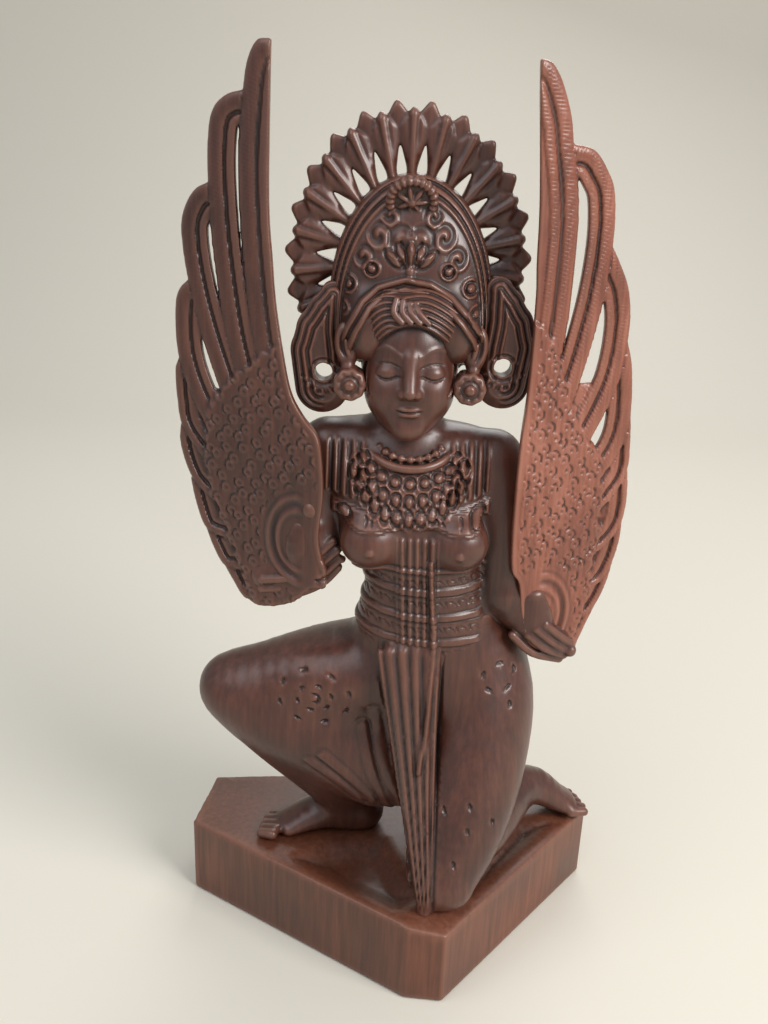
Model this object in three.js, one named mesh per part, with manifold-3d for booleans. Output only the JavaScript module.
import * as THREE from 'three';
import { mergeVertices } from 'three/addons/utils/BufferGeometryUtils.js';
import Module from 'manifold-3d';

// A winged legong dancer kneeling on her plinth, carved from one block of dark red hardwood.
// Millimetres, +Z up, the dancer looks along -Y; left and right are as seen from the front.
// The origin is on the plinth's underside.

const PLINTH = {
  height: 31,
  pocketDepth: 5,
  bevel: { x: 22, y: -19, long: 150, size: 60, yaw: 0.8, pitch: 0.2 },
  outline: [[-76.5, 9], [5, -41.5], [18, -42.5], [76.5, 27], [75, 36], [58, 50], [-72.5, 38]],
  pockets: [
    [[-36, -9], [1, -33], [10, -26], [-4, 4], [-26, 0]],
    [[27, -22], [60, 17], [48, 18], [34, -6]],
  ],
};

// The stations of a limb are x, y, z, half width, half depth.
const TORSO = [
  [10, 8, 100, 27, 20],
  [10, 6, 112, 28.5, 20],
  [8.5, 3, 125, 25, 18.5],
  [6.5, 0, 140, 20, 15.5],
  [4, -1, 151, 21, 15],
  [0, -1, 160, 25, 16],
  [-1.5, -1, 172, 27, 15.5],
  [-2, 1, 183, 27.5, 13],
  [-2.5, 3, 190, 20, 9.5],
];
const BREAST = { spread: 14, x: 1.5, y: -10, z: 156.5, radius: 9.5 };
const BANDS = [{ z: 123.5, half: 1.8 }, { z: 132.5, half: 1.8 }, { z: 143, half: 2 }, { z: 167, half: 3 }];
const BAND_RELIEF = 0.9;
const RIBS = { count: 4, first: 12.5, pitch: 4, low: 171, high: 183, side: 2.6 };
const PANEL = { ribs: 3, pitch: 4.2, low: 121, high: 163, side: 2.8 };

const YOKE = [[-29, 4, 184, 8, 8.5], [-3, 4, 187, 7, 9], [27, 3, 182.5, 8.5, 8.5]];
const NECK = [[-2.3, 4, 186, 12.5, 11], [-2.2, 2, 200, 10.5, 10.5], [-2.2, 1, 212, 11, 11]];
const TORQUE = { x: -1, y: -2, z: 188.5, radius: 13, bar: 1.5, tilt: 0.45 };
const BIB = { x: -1, z: 191, wide: 19.5, drop: 24, rows: [[0.66, 6], [0.96, 7]], bead: 2.6 };

const HEAD = { x: -2.2, y: 0, z: 213, wide: 16, deep: 18, high: 22.5 };
const JAW = { y: -6.5, z: 201.5, wide: 11.5, deep: 11, high: 11.5 };
const HAIR = { y: 2.5, z: 214, wide: 18.5, deep: 18.5, high: 21 };

const NOSE = { bridge: 1.6, tip: 2.4, long: 8, front: 1 };
const MOUTH = { down: 12.5, wide: 4, deep: 2.2, high: 1.8 };
const CHIN = { down: 19, wide: 4.5, deep: 3, high: 3.5 };
const EYE = { spread: 6.6, down: 1, wide: 4.2, deep: 2.2, high: 2.4 };
const EAR = { spread: 18.5, y: -4, up: 5, wide: 2.6, deep: 4, high: 6 };

const MITRE = { x: -3, y: 4, z: 232, wide: 24.5, deep: 15, high: 36, rim: 213 };
const ARCHES = [
  { wide: 20.5, high: 20, z: 219, y: -9, lean: -5, bar: 1.8 },
  { wide: 23.8, high: 34.5, z: 232, y: 1, lean: -1, bar: 2 },
];
const ROSETTE = {
  x: -3.6, y: -6.5, z: 257.5, radius: 7, depth: 4, petals: 5, tilt: 0.45, reach: 3.8, petal: 2.4,
};
const FAN = {
  x: -4.2, y: 6, z: 242, foot: 8, thick: 3, tipWide: 37.5, tipHigh: 46, dip: 0.945,
  rootWide: 20, rootHigh: 24, slotLow: 0.56, slotHigh: 0.76, slotHalf: 0.07, step: 15.8, side: 8,
  petal: 6.4, petalTip: 0.985, petalMiddle: 0.74,
};
const VOLUTE = { left: [-28.5, 209], right: [25, 212], y: -3, ring: 4.9, bar: 3.1, locks: 2, gap: 4 };
const EARRING = { spread: 18, y: -9.5, down: 5, radius: 5, depth: 9, bead: 3, lift: 2 };

const ARMS = {
  left: {
    upper: [[-29, 3, 184, 8, 8.5], [-30, -2, 168, 7.5, 8], [-29, -4, 154, 7.5, 8]],
    fore: [[-29, -4, 152.5, 7.5, 7.5], [-46, -2, 140.5, 6.5, 6.5]],
    hand: [[-35, -13, 153, 4.5, 4], [-33.5, -14, 160, 4.5, 4], [-31.5, -14, 166.5, 2.8, 3]],
  },
  right: {
    upper: [[27.5, 2, 182, 9, 9], [30, -1, 162, 8, 8], [32, -3, 138, 8, 8]],
    fore: [[34, -3, 136, 8.5, 8], [51, -1, 119, 6.5, 6.5]],
    hand: [[44, -11, 130, 5, 4], [41.5, -12, 138, 5, 4], [38, -12, 145, 3, 3]],
  },
};
const CUFFS = { count: 3, relief: 1.1 };

const KNEEL = {
  thigh: [[24, 8, 108, 22, 20], [27, 2, 92, 20.5, 20], [24.5, -9, 70, 18.5, 17], [20.5, -18, 53, 17, 14],
    [16, -27, 38, 12, 10]],
  shin: [[16, -20, 39, 11, 10], [31, -3, 43, 12, 11], [46, 17, 46, 8.5, 8.5]],
  foot: [[46, 18, 46, 8, 8], [54, 22, 44, 7.5, 7], [63, 25, 37.5, 7.5, 5], [69, 26, 34.5, 8, 3.5]],
  toes: { x: 71, y: 26, z: 33.5, pitch: 3.3, yaw: 0.25 },
};
const RAISED = {
  thigh: [[0, 8, 103, 19, 19], [-22, 7, 101, 16, 19], [-42, 7, 97, 13.5, 15], [-63.5, 8, 91.5, 10, 10.5]],
  shin: [[-57, 8, 91, 11, 11], [-44, 9, 74.5, 12, 12], [-31.5, 10, 62, 12, 11.5], [-20, 12, 47, 10, 9]],
  cloth: [[-50, 5, 86, 9, 11], [-34, 4, 81, 13, 14], [-20, 3, 76, 17.5, 15], [-4, 1, 67, 19, 14]],
  foot: [[-13, 13, 37, 8, 8], [-20, 13, 38, 8, 8], [-30, 11, 36.5, 7.5, 6.5], [-44, 6, 33, 7, 3.2]],
  toes: { x: -46, y: 6, z: 33, pitch: 2.9, yaw: 2.8 },
};
const TOE = { count: 5, long: 5, wide: 2.4, high: 2.4 };
const DRAPE = {
  top: [2, -15.5, 116], foot: [10.5, -34, 34], topWide: 20, footWide: 5, pleats: 4, deep: 4, ridge: 2.4,
};
const SEAT = [[12, 20, 100, 29, 17], [20, 21, 74, 23, 17], [27, 19, 50, 17, 15]];

// A feather is given by its outer edge as x, z points from the start of its arched top to its root.
const WING = { thick: 3.6, sweep: 0.5, y: -12, tongue: 0.9 };
const WINGS = {
  left: {
    side: -1,
    hinge: -31,
    first: 9.4,
    plate: [[222, -41.5, -56, 0.3], [205, -38, -66, 0.5], [194, -29.2, -66, 1], [172, -27.5, -67, 1.3],
      [157, -28.5, -62, 1.3], [144, -31, -57, 1.3], [131, -43, -52, 1]],
    blades: [
      [[-44.8, 301.5], [-50.5, 299], [-53.5, 286], [-54.3, 255], [-49, 200]],
      [[-52.5, 288.5], [-60, 285.8], [-64.3, 273], [-62.5, 242], [-56, 200]],
      [[-64.3, 263.5], [-70, 259.5], [-73.8, 247], [-70, 229], [-61, 195]],
      [[-71.6, 234], [-75.6, 230], [-77, 214], [-72, 200], [-62, 182]],
      [[-75.5, 209], [-77.4, 204], [-76.6, 190], [-70, 181], [-60, 172]],
      [[-75.8, 188.5], [-76.4, 183], [-73.6, 171], [-67, 166], [-58, 160]],
      [[-72.8, 169.5], [-72, 165], [-68.5, 155], [-62, 153], [-54, 150]],
      [[-67.6, 153], [-66.4, 149], [-62.5, 142], [-57, 142], [-50, 142]],
      [[-62, 141.8], [-60, 138], [-54.5, 132], [-50, 133], [-45, 136]],
    ],
    coverts: { x: -47, z: 168, lean: -0.12 },
  },
  right: {
    side: 1,
    hinge: 30,
    first: 11.2,
    plate: [[228, 33.6, 46, 0.3], [206, 33.4, 58, 0.4], [184, 32.4, 62, 1], [166, 32.2, 65, 1.3],
      [146, 34, 63, 1.3], [128, 40, 61, 1.3], [113, 50, 56, 1]],
    blades: [
      [[29.3, 298.3], [35, 294], [40.3, 278], [44.3, 245], [42.5, 200]],
      [[40.3, 277.4], [48, 275.6], [55, 264.5], [56, 238], [48, 196]],
      [[55.8, 246.5], [60.8, 243.5], [65.3, 227], [63, 209], [54, 188]],
      [[64.8, 215], [69, 209], [70.6, 192], [66, 182], [57, 174]],
      [[68.5, 187.5], [71.3, 183], [71.8, 168], [66, 162], [58, 158]],
      [[69.5, 168.5], [71.9, 163], [70.8, 151], [65, 147], [57, 144]],
      [[69.2, 150], [70, 146], [66.5, 134], [62, 132], [55, 132]],
    ],
    coverts: { x: 50.5, z: 156, lean: 0.04 },
  },
};
const FEATHER = { width: 8.8, short: 6.4, long: 4, point: 0.3 };
const SCALES = { rows: 3, columns: 2, pitch: 12, size: 4, relief: 1.6 };

const wood = new THREE.MeshStandardMaterial({ color: 0x5a2c1d, roughness: 0.38, metalness: 0 });

const wasm = await Module();
wasm.setup();

const vec = (p) => new THREE.Vector3(p[0], p[1], p[2]);
const lerp = THREE.MathUtils.lerp;

// A closed three.js geometry becomes a solid, with its faces pointing out.
function toSolid(geometry) {
  const bare = geometry.clone();
  bare.deleteAttribute('normal');
  bare.deleteAttribute('uv');
  const merged = mergeVertices(bare, 1e-4);
  const vertProperties = Float32Array.from(merged.attributes.position.array);
  const triVerts = Uint32Array.from(merged.index.array);
  let solid = new wasm.Manifold(new wasm.Mesh({ numProp: 3, vertProperties, triVerts }));
  if (solid.volume() < 0) {
    for (let i = 0; i < triVerts.length; i += 3) {
      [triVerts[i], triVerts[i + 1]] = [triVerts[i + 1], triVerts[i]];
    }
    solid = new wasm.Manifold(new wasm.Mesh({ numProp: 3, vertProperties, triVerts }));
  }
  return solid;
}

function join(solids) {
  let level = solids;
  while (level.length > 1) {
    const next = [];
    for (let i = 0; i < level.length; i += 2) {
      next.push(i + 1 < level.length ? level[i].add(level[i + 1]) : level[i]);
    }
    level = next;
  }
  return level[0];
}

// A skin is a sphere's net of rows and sides, drawn over places worked out for each vertex.
function skin(rows, sides, place) {
  const net = new THREE.SphereGeometry(1, sides, rows);
  const position = net.attributes.position;
  for (let row = 0; row <= rows; row += 1) {
    for (let side = 0; side <= sides; side += 1) {
      const p = place(row, ((side % sides) / sides) * 2 * Math.PI);
      position.setXYZ(row * (sides + 1) + side, p.x, p.y, p.z);
    }
  }
  return toSolid(net);
}

// A limb follows its stations, with elliptical sections and rounded ends.
function limb(stations, sides = 12, forward = [0, -1, 0], dome = 0.6) {
  const points = stations.map(vec);
  const count = points.length;
  const tangents = points.map((p, i) => {
    const before = points[Math.max(i - 1, 0)];
    const after = points[Math.min(i + 1, count - 1)];
    return after.clone().sub(before).normalize();
  });
  const rings = points.map((p, i) => ({ p, t: tangents[i], w: stations[i][3], d: stations[i][4] }));
  const cap = (ring, sign, reach, scale) => ({
    p: ring.p.clone().addScaledVector(ring.t, sign * reach * Math.min(ring.w, ring.d)),
    t: ring.t, w: ring.w * scale, d: ring.d * scale,
  });
  const first = rings[0];
  const last = rings[count - 1];
  if (sides > 6) rings.unshift(cap(first, -1, dome * 0.7, 0.7));
  rings.unshift(cap(first, -1, dome, 0));
  if (sides > 6) rings.push(cap(last, 1, dome * 0.7, 0.7));
  rings.push(cap(last, 1, dome, 0));
  return skin(rings.length - 1, sides, (row, angle) => {
    const ring = rings[row];
    const n = vec(forward);
    n.addScaledVector(ring.t, -n.dot(ring.t)).normalize();
    const s = n.clone().cross(ring.t);
    return ring.p.clone()
      .addScaledVector(s, -Math.cos(angle) * ring.w)
      .addScaledVector(n, Math.sin(angle) * ring.d);
  });
}

function ball(x, y, z, rx, ry, rz, sides = 12, rows = 8) {
  const geometry = new THREE.SphereGeometry(1, sides, rows);
  geometry.rotateX(Math.PI / 2);
  geometry.scale(rx, ry, rz);
  geometry.translate(x, y, z);
  return toSolid(geometry);
}

function bud(x, y, z, r, depth = r) {
  const geometry = new THREE.OctahedronGeometry(1, 0);
  geometry.scale(r, depth, r);
  geometry.translate(x, y, z);
  return toSolid(geometry);
}

// An outline in plan, raised between two heights.
function prism(outline, low, high) {
  const shape = new THREE.Shape(outline.map(([x, y]) => new THREE.Vector2(x, y)));
  const geometry = new THREE.ExtrudeGeometry(shape, { depth: high - low, bevelEnabled: false });
  geometry.translate(0, 0, low);
  return toSolid(geometry);
}

function ring(radius, bar, sides, steps) {
  const profile = [];
  for (let i = 0; i <= sides; i += 1) {
    const a = (i / sides) * 2 * Math.PI;
    profile.push(new THREE.Vector2(radius + bar * Math.cos(a), bar * Math.sin(a)));
  }
  return new THREE.LatheGeometry(profile, steps);
}

function makePlinth() {
  let block = prism(PLINTH.outline, 0, PLINTH.height);
  for (const pocket of PLINTH.pockets) {
    block = block.subtract(prism(pocket, PLINTH.height - PLINTH.pocketDepth, PLINTH.height + 1));
  }
  const { x, y, long, size, yaw, pitch } = PLINTH.bevel;
  const wedge = new THREE.BoxGeometry(long, size, size / 3);
  wedge.translate(0, -size / 2, size / 6);
  wedge.rotateX(pitch);
  wedge.rotateZ(yaw);
  wedge.translate(x, y, PLINTH.height);
  return block.subtract(toSolid(wedge));
}

function torsoAt(z) {
  let i = 0;
  while (i < TORSO.length - 2 && TORSO[i + 1][2] < z) i += 1;
  const [a, b] = [TORSO[i], TORSO[i + 1]];
  const f = (z - a[2]) / (b[2] - a[2]);
  return a.map((value, k) => lerp(value, b[k], f));
}

// A point on the front of the torso, across from its middle at a given height.
function torsoFront(across, z) {
  const [cx, cy, , w, d] = torsoAt(z);
  return [cx + across, cy - d * Math.sqrt(Math.max(0.05, 1 - (across / w) ** 2)), z];
}

// A ridge is a square bar turned on its edge between two points.
function ridge(from, to, side) {
  const [a, b] = [vec(from), vec(to)];
  const bar = new THREE.BoxGeometry(side, side, a.distanceTo(b));
  bar.rotateZ(Math.PI / 4);
  const turn = new THREE.Quaternion().setFromUnitVectors(new THREE.Vector3(0, 0, 1),
    b.clone().sub(a).normalize());
  bar.applyQuaternion(turn);
  const middle = a.add(b).multiplyScalar(0.5);
  bar.translate(middle.x, middle.y, middle.z);
  return toSolid(bar);
}

function banded(stations, bands, relief) {
  const rows = stations.filter((s) => bands.every((band) => Math.abs(s[2] - band.z) > band.half + 1.5));
  for (const band of bands) {
    for (const [f, grow] of [[-1, 0], [0, relief], [1, 0]]) {
      const [x, y, z, w, d] = torsoAt(band.z + f * band.half);
      rows.push([x, y, z, w + grow, d + grow]);
    }
  }
  return rows.sort((a, b) => a[2] - b[2]);
}

function makeTorso() {
  const pieces = [limb(banded(TORSO, BANDS, BAND_RELIEF), 10, [0, -1, 0], 0.5), limb(YOKE, 6)];
  for (const side of [-1, 1]) {
    const { spread, x, y, z, radius } = BREAST;
    pieces.push(ball(x + side * spread, y, z, radius, radius, radius, 9, 6));
    for (let i = 0; i < RIBS.count; i += 1) {
      const across = side * (RIBS.first + i * RIBS.pitch);
      pieces.push(ridge(torsoFront(across, RIBS.low), torsoFront(across * 0.92, RIBS.high), RIBS.side));
    }
  }
  for (let i = 0; i < PANEL.ribs; i += 1) {
    const across = (i - (PANEL.ribs - 1) / 2) * PANEL.pitch;
    const middle = torsoFront(across, (PANEL.low + PANEL.high) / 2);
    pieces.push(ridge(torsoFront(across, PANEL.low), middle, PANEL.side));
    pieces.push(ridge(middle, torsoFront(across, PANEL.high), PANEL.side));
  }
  return join(pieces);
}

function makeCollar() {
  const torque = ring(TORQUE.radius, TORQUE.bar, 4, 10);
  torque.rotateX(Math.PI / 2 + TORQUE.tilt);
  torque.translate(TORQUE.x, TORQUE.y, TORQUE.z);
  const pieces = [toSolid(torque)];
  for (const [reach, count] of BIB.rows) {
    for (let i = 0; i < count; i += 1) {
      const a = lerp(-1.2, 1.2, i / (count - 1));
      const x = BIB.x + BIB.wide * reach * Math.sin(a);
      const z = BIB.z - BIB.drop * reach * Math.cos(a);
      const [px, py, pz] = torsoFront(x - torsoAt(z)[0], z);
      pieces.push(bud(px, py - 0.3, pz, BIB.bead));
    }
  }
  return join(pieces);
}

function makeHead() {
  const { x, y, z } = HEAD;
  const face = y - HEAD.deep;
  const pieces = [
    limb(NECK, 6),
    ball(x, y, z, HEAD.wide, HEAD.deep, HEAD.high, 10, 8),
    ball(x, JAW.y, JAW.z, JAW.wide, JAW.deep, JAW.high, 8, 6),
    ball(x, HAIR.y, HAIR.z, HAIR.wide, HAIR.deep, HAIR.high, 8, 6),
    limb([[x, face + NOSE.bridge, z + 1, NOSE.bridge, NOSE.bridge],
      [x, face - NOSE.front, z + 1 - NOSE.long, NOSE.tip, NOSE.tip]], 5),
    ball(x, face + MOUTH.deep, z - MOUTH.down, MOUTH.wide, MOUTH.deep, MOUTH.high, 6, 4),
    ball(x, JAW.y - JAW.deep + CHIN.deep, z - CHIN.down, CHIN.wide, CHIN.deep, CHIN.high, 6, 4),
  ];
  for (const side of [-1, 1]) {
    const lid = ball(x + side * EYE.spread, face + EYE.deep * 2, z - EYE.down,
      EYE.wide, EYE.deep, EYE.high, 6, 4);
    pieces.push(lid);
    pieces.push(ball(x + side * EAR.spread, EAR.y, z + EAR.up, EAR.wide, EAR.deep, EAR.high, 6, 4));
    const earring = new THREE.CylinderGeometry(EARRING.radius, EARRING.radius, EARRING.depth, 8);
    const [ex, ez] = [x + side * EARRING.spread, z - EARRING.down];
    earring.translate(ex, EARRING.y, ez);
    pieces.push(toSolid(earring));
    pieces.push(bud(ex, EARRING.y - EARRING.depth / 2, ez, EARRING.bead, EARRING.lift));
  }
  return join(pieces);
}

// A fan of pierced petals in two layers stands behind the mitre.
function makeFan() {
  const { x, y, z, step, side } = FAN;
  const spoke = (k, wide, high, turn = 0) => {
    const a = THREE.MathUtils.degToRad(k * step) + turn;
    return new THREE.Vector2(x + wide * Math.sin(a), z + high * Math.cos(a));
  };
  const rim = [];
  for (let k = -side - 0.25; k <= side + 0.25; k += 0.25) {
    const tip = Math.round(Math.abs(k) * 4) % 2 === 0 ? 1 : FAN.dip;
    rim.push(spoke(k, FAN.tipWide * tip, FAN.tipHigh * tip));
  }
  rim.push(new THREE.Vector2(x, z - FAN.foot));
  const plate = new THREE.Shape(rim);
  for (let k = -side + 0.5; k < side; k += 1) {
    const low = [FAN.tipWide * FAN.slotLow, FAN.tipHigh * FAN.slotLow];
    const high = [FAN.tipWide * FAN.slotHigh, FAN.tipHigh * FAN.slotHigh];
    plate.holes.push(new THREE.Path([
      spoke(k, ...low, FAN.slotHalf), spoke(k, ...high), spoke(k, ...low, -FAN.slotHalf),
    ]));
  }
  const sheet = new THREE.ExtrudeGeometry(plate, { depth: FAN.thick, bevelEnabled: false });
  sheet.rotateX(Math.PI / 2);
  sheet.translate(0, y + FAN.thick / 2, 0);
  const pieces = [toSolid(sheet)];
  for (let k = -side; k <= side; k += 1) {
    const a = THREE.MathUtils.degToRad(k * step);
    const root = spoke(k, FAN.rootWide, FAN.rootHigh);
    const along = spoke(k, FAN.tipWide * FAN.petalTip, FAN.tipHigh * FAN.petalTip).sub(root);
    const petal = new THREE.OctahedronGeometry(1, 0);
    const position = petal.attributes.position;
    for (let i = 0; i < position.count; i += 1) {
      const [px, py, pz] = [position.getX(i), position.getY(i), position.getZ(i)];
      const f = py > 0.5 ? 1 : py < -0.5 ? 0 : FAN.petalMiddle;
      const sideways = px * FAN.petal * 0.5;
      position.setXYZ(i, root.x + along.x * f + Math.cos(a) * sideways,
        y - FAN.thick * 0.25 - pz * FAN.thick * 0.75,
        root.y + along.y * f - Math.sin(a) * sideways);
    }
    pieces.push(toSolid(petal));
  }
  return join(pieces);
}

function makeMitre() {
  const egg = ball(MITRE.x, MITRE.y, MITRE.z, MITRE.wide, MITRE.deep, MITRE.high, 11, 8);
  const below = new THREE.BoxGeometry(MITRE.wide * 3, MITRE.wide * 3, MITRE.high);
  below.translate(MITRE.x, MITRE.y, MITRE.rim - MITRE.high / 2);
  const pieces = [egg.subtract(toSolid(below))];
  for (const arch of ARCHES) {
    const stations = [];
    for (let i = 0; i <= 8; i += 1) {
      const a = lerp(-1.75, 1.75, i / 8);
      stations.push([MITRE.x + arch.wide * Math.sin(a), arch.y + arch.lean * Math.cos(a),
        arch.z + arch.high * Math.cos(a), arch.bar, arch.bar]);
    }
    pieces.push(limb(stations, 4, [0, -1, 0], 0.5));
  }
  const wreath = new THREE.CylinderGeometry(ROSETTE.radius, ROSETTE.radius, ROSETTE.depth, 10);
  wreath.rotateX(-ROSETTE.tilt);
  wreath.translate(ROSETTE.x, ROSETTE.y, ROSETTE.z);
  pieces.push(toSolid(wreath));
  for (let i = 0; i < ROSETTE.petals; i += 1) {
    const a = (i / ROSETTE.petals) * 2 * Math.PI;
    const lift = ROSETTE.tilt * ROSETTE.reach * Math.sin(a);
    pieces.push(bud(ROSETTE.x + ROSETTE.reach * Math.cos(a), ROSETTE.y - ROSETTE.depth / 2 + lift,
      ROSETTE.z + ROSETTE.reach * Math.sin(a), ROSETTE.petal));
  }
  return join(pieces);
}

function makeVolutes() {
  const pieces = [];
  for (const side of [-1, 1]) {
    const [x, z] = side < 0 ? VOLUTE.left : VOLUTE.right;
    const curl = ring(VOLUTE.ring, VOLUTE.bar, 4, 10);
    curl.scale(1, 1.3, 1);
    curl.translate(x, VOLUTE.y, z);
    pieces.push(toSolid(curl));
    for (let lock = 0; lock < VOLUTE.locks; lock += 1) {
      const out = 8.4 - lock * VOLUTE.gap;
      const stations = [];
      for (let i = 0; i <= 3; i += 1) {
        const a = lerp(-0.35, 1.7, i / 3);
        stations.push([x + side * (out * Math.cos(a) - 1.5), VOLUTE.y + lock,
          z + 2 + (out + 13 - VOLUTE.gap * lock) * 0.74 * Math.sin(a), 2.1, 3.8]);
      }
      pieces.push(limb(stations, 4, [0, -1, 0], 0.5));
    }
  }
  return join(pieces);
}

function wingY(wing, x) {
  return WING.y + Math.max(wing.side * (x - wing.hinge), -4) * WING.sweep;
}

// A feather follows its outer edge, with two ridged vanes either side of a groove on its face.
// The first feather of a wing starts from a point, the others from their arched tops.
function feather(wing, edgePoints, width, rows, vanes, pointed) {
  const edge = new THREE.CatmullRomCurve3(edgePoints.map(([x, z]) => new THREE.Vector3(x, 0, z)));
  const profile = vanes === 2
    ? [[0, 0], [0.25, 1], [0.5, 0.35], [0.75, 1], [1, 0], [0.5, -0.9]]
    : [[0, 0], [0.5, 1], [1, 0], [0.5, -0.9]];
  return skin(rows, profile.length, (row, angle) => {
    const f = THREE.MathUtils.clamp((row - 0.5) / (rows - 1), 0, 1);
    const end = row === 0 || row === rows;
    const p = edge.getPoint(f);
    const t = edge.getTangent(f);
    const [across, lift] = profile[Math.round((angle / (2 * Math.PI)) * profile.length)];
    const wide = pointed ? width * Math.min(1, f / FEATHER.point) : width;
    const reach = wide * (end ? 0.5 : across) - (pointed ? 0 : WING.tongue * 0.5);
    p.x += wing.side * t.z * reach;
    p.z -= wing.side * t.x * reach;
    p.y = wingY(wing, p.x) - (end ? 0 : lift * WING.thick * 0.5);
    return p;
  });
}

// The coverts are a plate between the wing's inner edge and the feathers' roots.
function makeCoverts(wing) {
  const rows = wing.plate.length + 1;
  const profile = [[0, 0], [0.1, 1], [0.9, 1], [1, 0], [0.9, -1], [0.1, -1]];
  return skin(rows, profile.length, (row, angle) => {
    const end = row === 0 || row === rows;
    const [z, inner, outer, full] = wing.plate[THREE.MathUtils.clamp(row - 1, 0, rows - 2)];
    const [across, lift] = profile[Math.round((angle / (2 * Math.PI)) * profile.length)];
    const x = lerp(inner, outer, end ? 0.5 : across);
    const outward = row === 0 ? 2 : row === rows ? -1.5 : 0;
    const y = wingY(wing, x) - (end ? 0 : lift * full * WING.thick * 0.5);
    return new THREE.Vector3(x, y, z + outward);
  });
}

function makeWing(wing) {
  const pieces = wing.blades.map((blade, k) => {
    const long = k < FEATHER.long;
    const width = k === 0 ? wing.first : long ? FEATHER.width : FEATHER.short;
    return feather(wing, blade, width + WING.tongue, long ? 7 : 4, long ? 2 : 1, k === 0);
  });
  pieces.push(makeCoverts(wing));
  const { x, z, lean } = wing.coverts;
  for (let row = 0; row < SCALES.rows; row += 1) {
    for (let column = 0; column < SCALES.columns; column += 1) {
      const up = (row - (SCALES.rows - 1) / 2) * SCALES.pitch;
      const px = x + lean * up + (column - 0.75 + (row % 2) * 0.5) * SCALES.pitch;
      pieces.push(bud(px, wingY(wing, px) - WING.thick * 0.6, z + up, SCALES.size, SCALES.relief));
    }
  }
  return join(pieces);
}

// The forearm carries its cuffs as ridges along it.
function makeArm({ upper, fore, hand }) {
  const [elbow, wrist] = fore;
  const rows = [elbow];
  for (let i = 0; i < CUFFS.count; i += 1) {
    for (const [step, grow] of [[0.2, -0.3], [0.5, CUFFS.relief], [0.8, -0.3]]) {
      const f = (i + step) / CUFFS.count;
      rows.push(elbow.map((value, k) => lerp(value, wrist[k], f) + (k < 3 ? 0 : grow)));
    }
  }
  rows.push(wrist);
  return join([limb(upper, 6), limb(rows, 6), limb(hand, 6)]);
}

function makeToes({ x, y, z, pitch, yaw }) {
  const pieces = [];
  for (let i = 0; i < TOE.count; i += 1) {
    const across = (i - (TOE.count - 1) / 2) * pitch;
    const toe = new THREE.OctahedronGeometry(1, 0);
    toe.rotateX(Math.PI / 4);
    toe.scale(TOE.long, TOE.wide, TOE.high);
    toe.rotateZ(yaw);
    toe.translate(x - Math.sin(yaw) * across, y + Math.cos(yaw) * across, z);
    pieces.push(toSolid(toe));
  }
  return join(pieces);
}

function makeLegs() {
  const pieces = [
    limb(SEAT, 8),
    limb(KNEEL.thigh, 10),
    limb(KNEEL.shin, 6),
    limb(KNEEL.foot, 6, [0, 0, 1]),
    makeToes(KNEEL.toes),
    limb(RAISED.thigh, 10),
    limb(RAISED.shin, 8),
    limb(RAISED.cloth, 8),
    limb(RAISED.foot, 6, [0, 0, 1]),
    makeToes(RAISED.toes),
  ];
  const [a, b] = [DRAPE.top, DRAPE.foot];
  pieces.push(limb([[...a, DRAPE.topWide / 2, DRAPE.deep], [...b, DRAPE.footWide / 2, DRAPE.deep]], 6));
  for (let i = 0; i < DRAPE.pleats; i += 1) {
    const across = (i + 0.5) / DRAPE.pleats - 0.5;
    const front = DRAPE.deep * 0.8;
    pieces.push(ridge([a[0] + across * DRAPE.topWide, a[1] - front, a[2]],
      [b[0] + across * DRAPE.footWide, b[1] - front, b[2]], DRAPE.ridge));
  }
  return join(pieces);
}

const figure = join([
  makePlinth(),
  makeLegs(),
  makeTorso(),
  makeCollar(),
  makeHead(),
  makeMitre(),
  makeFan(),
  makeVolutes(),
  makeArm(ARMS.left),
  makeArm(ARMS.right),
  makeWing(WINGS.left),
  makeWing(WINGS.right),
]);

function toMesh(name, solid) {
  const { vertProperties, triVerts } = solid.getMesh();
  const geometry = new THREE.BufferGeometry();
  geometry.setAttribute('position', new THREE.BufferAttribute(Float32Array.from(vertProperties), 3));
  geometry.setIndex(new THREE.BufferAttribute(Uint32Array.from(triVerts), 1));
  geometry.computeVertexNormals();
  const mesh = new THREE.Mesh(geometry, wood);
  mesh.name = name;
  return mesh;
}

const group = new THREE.Group();
group.add(toMesh('legong_dancer_figure', figure));

export default group;
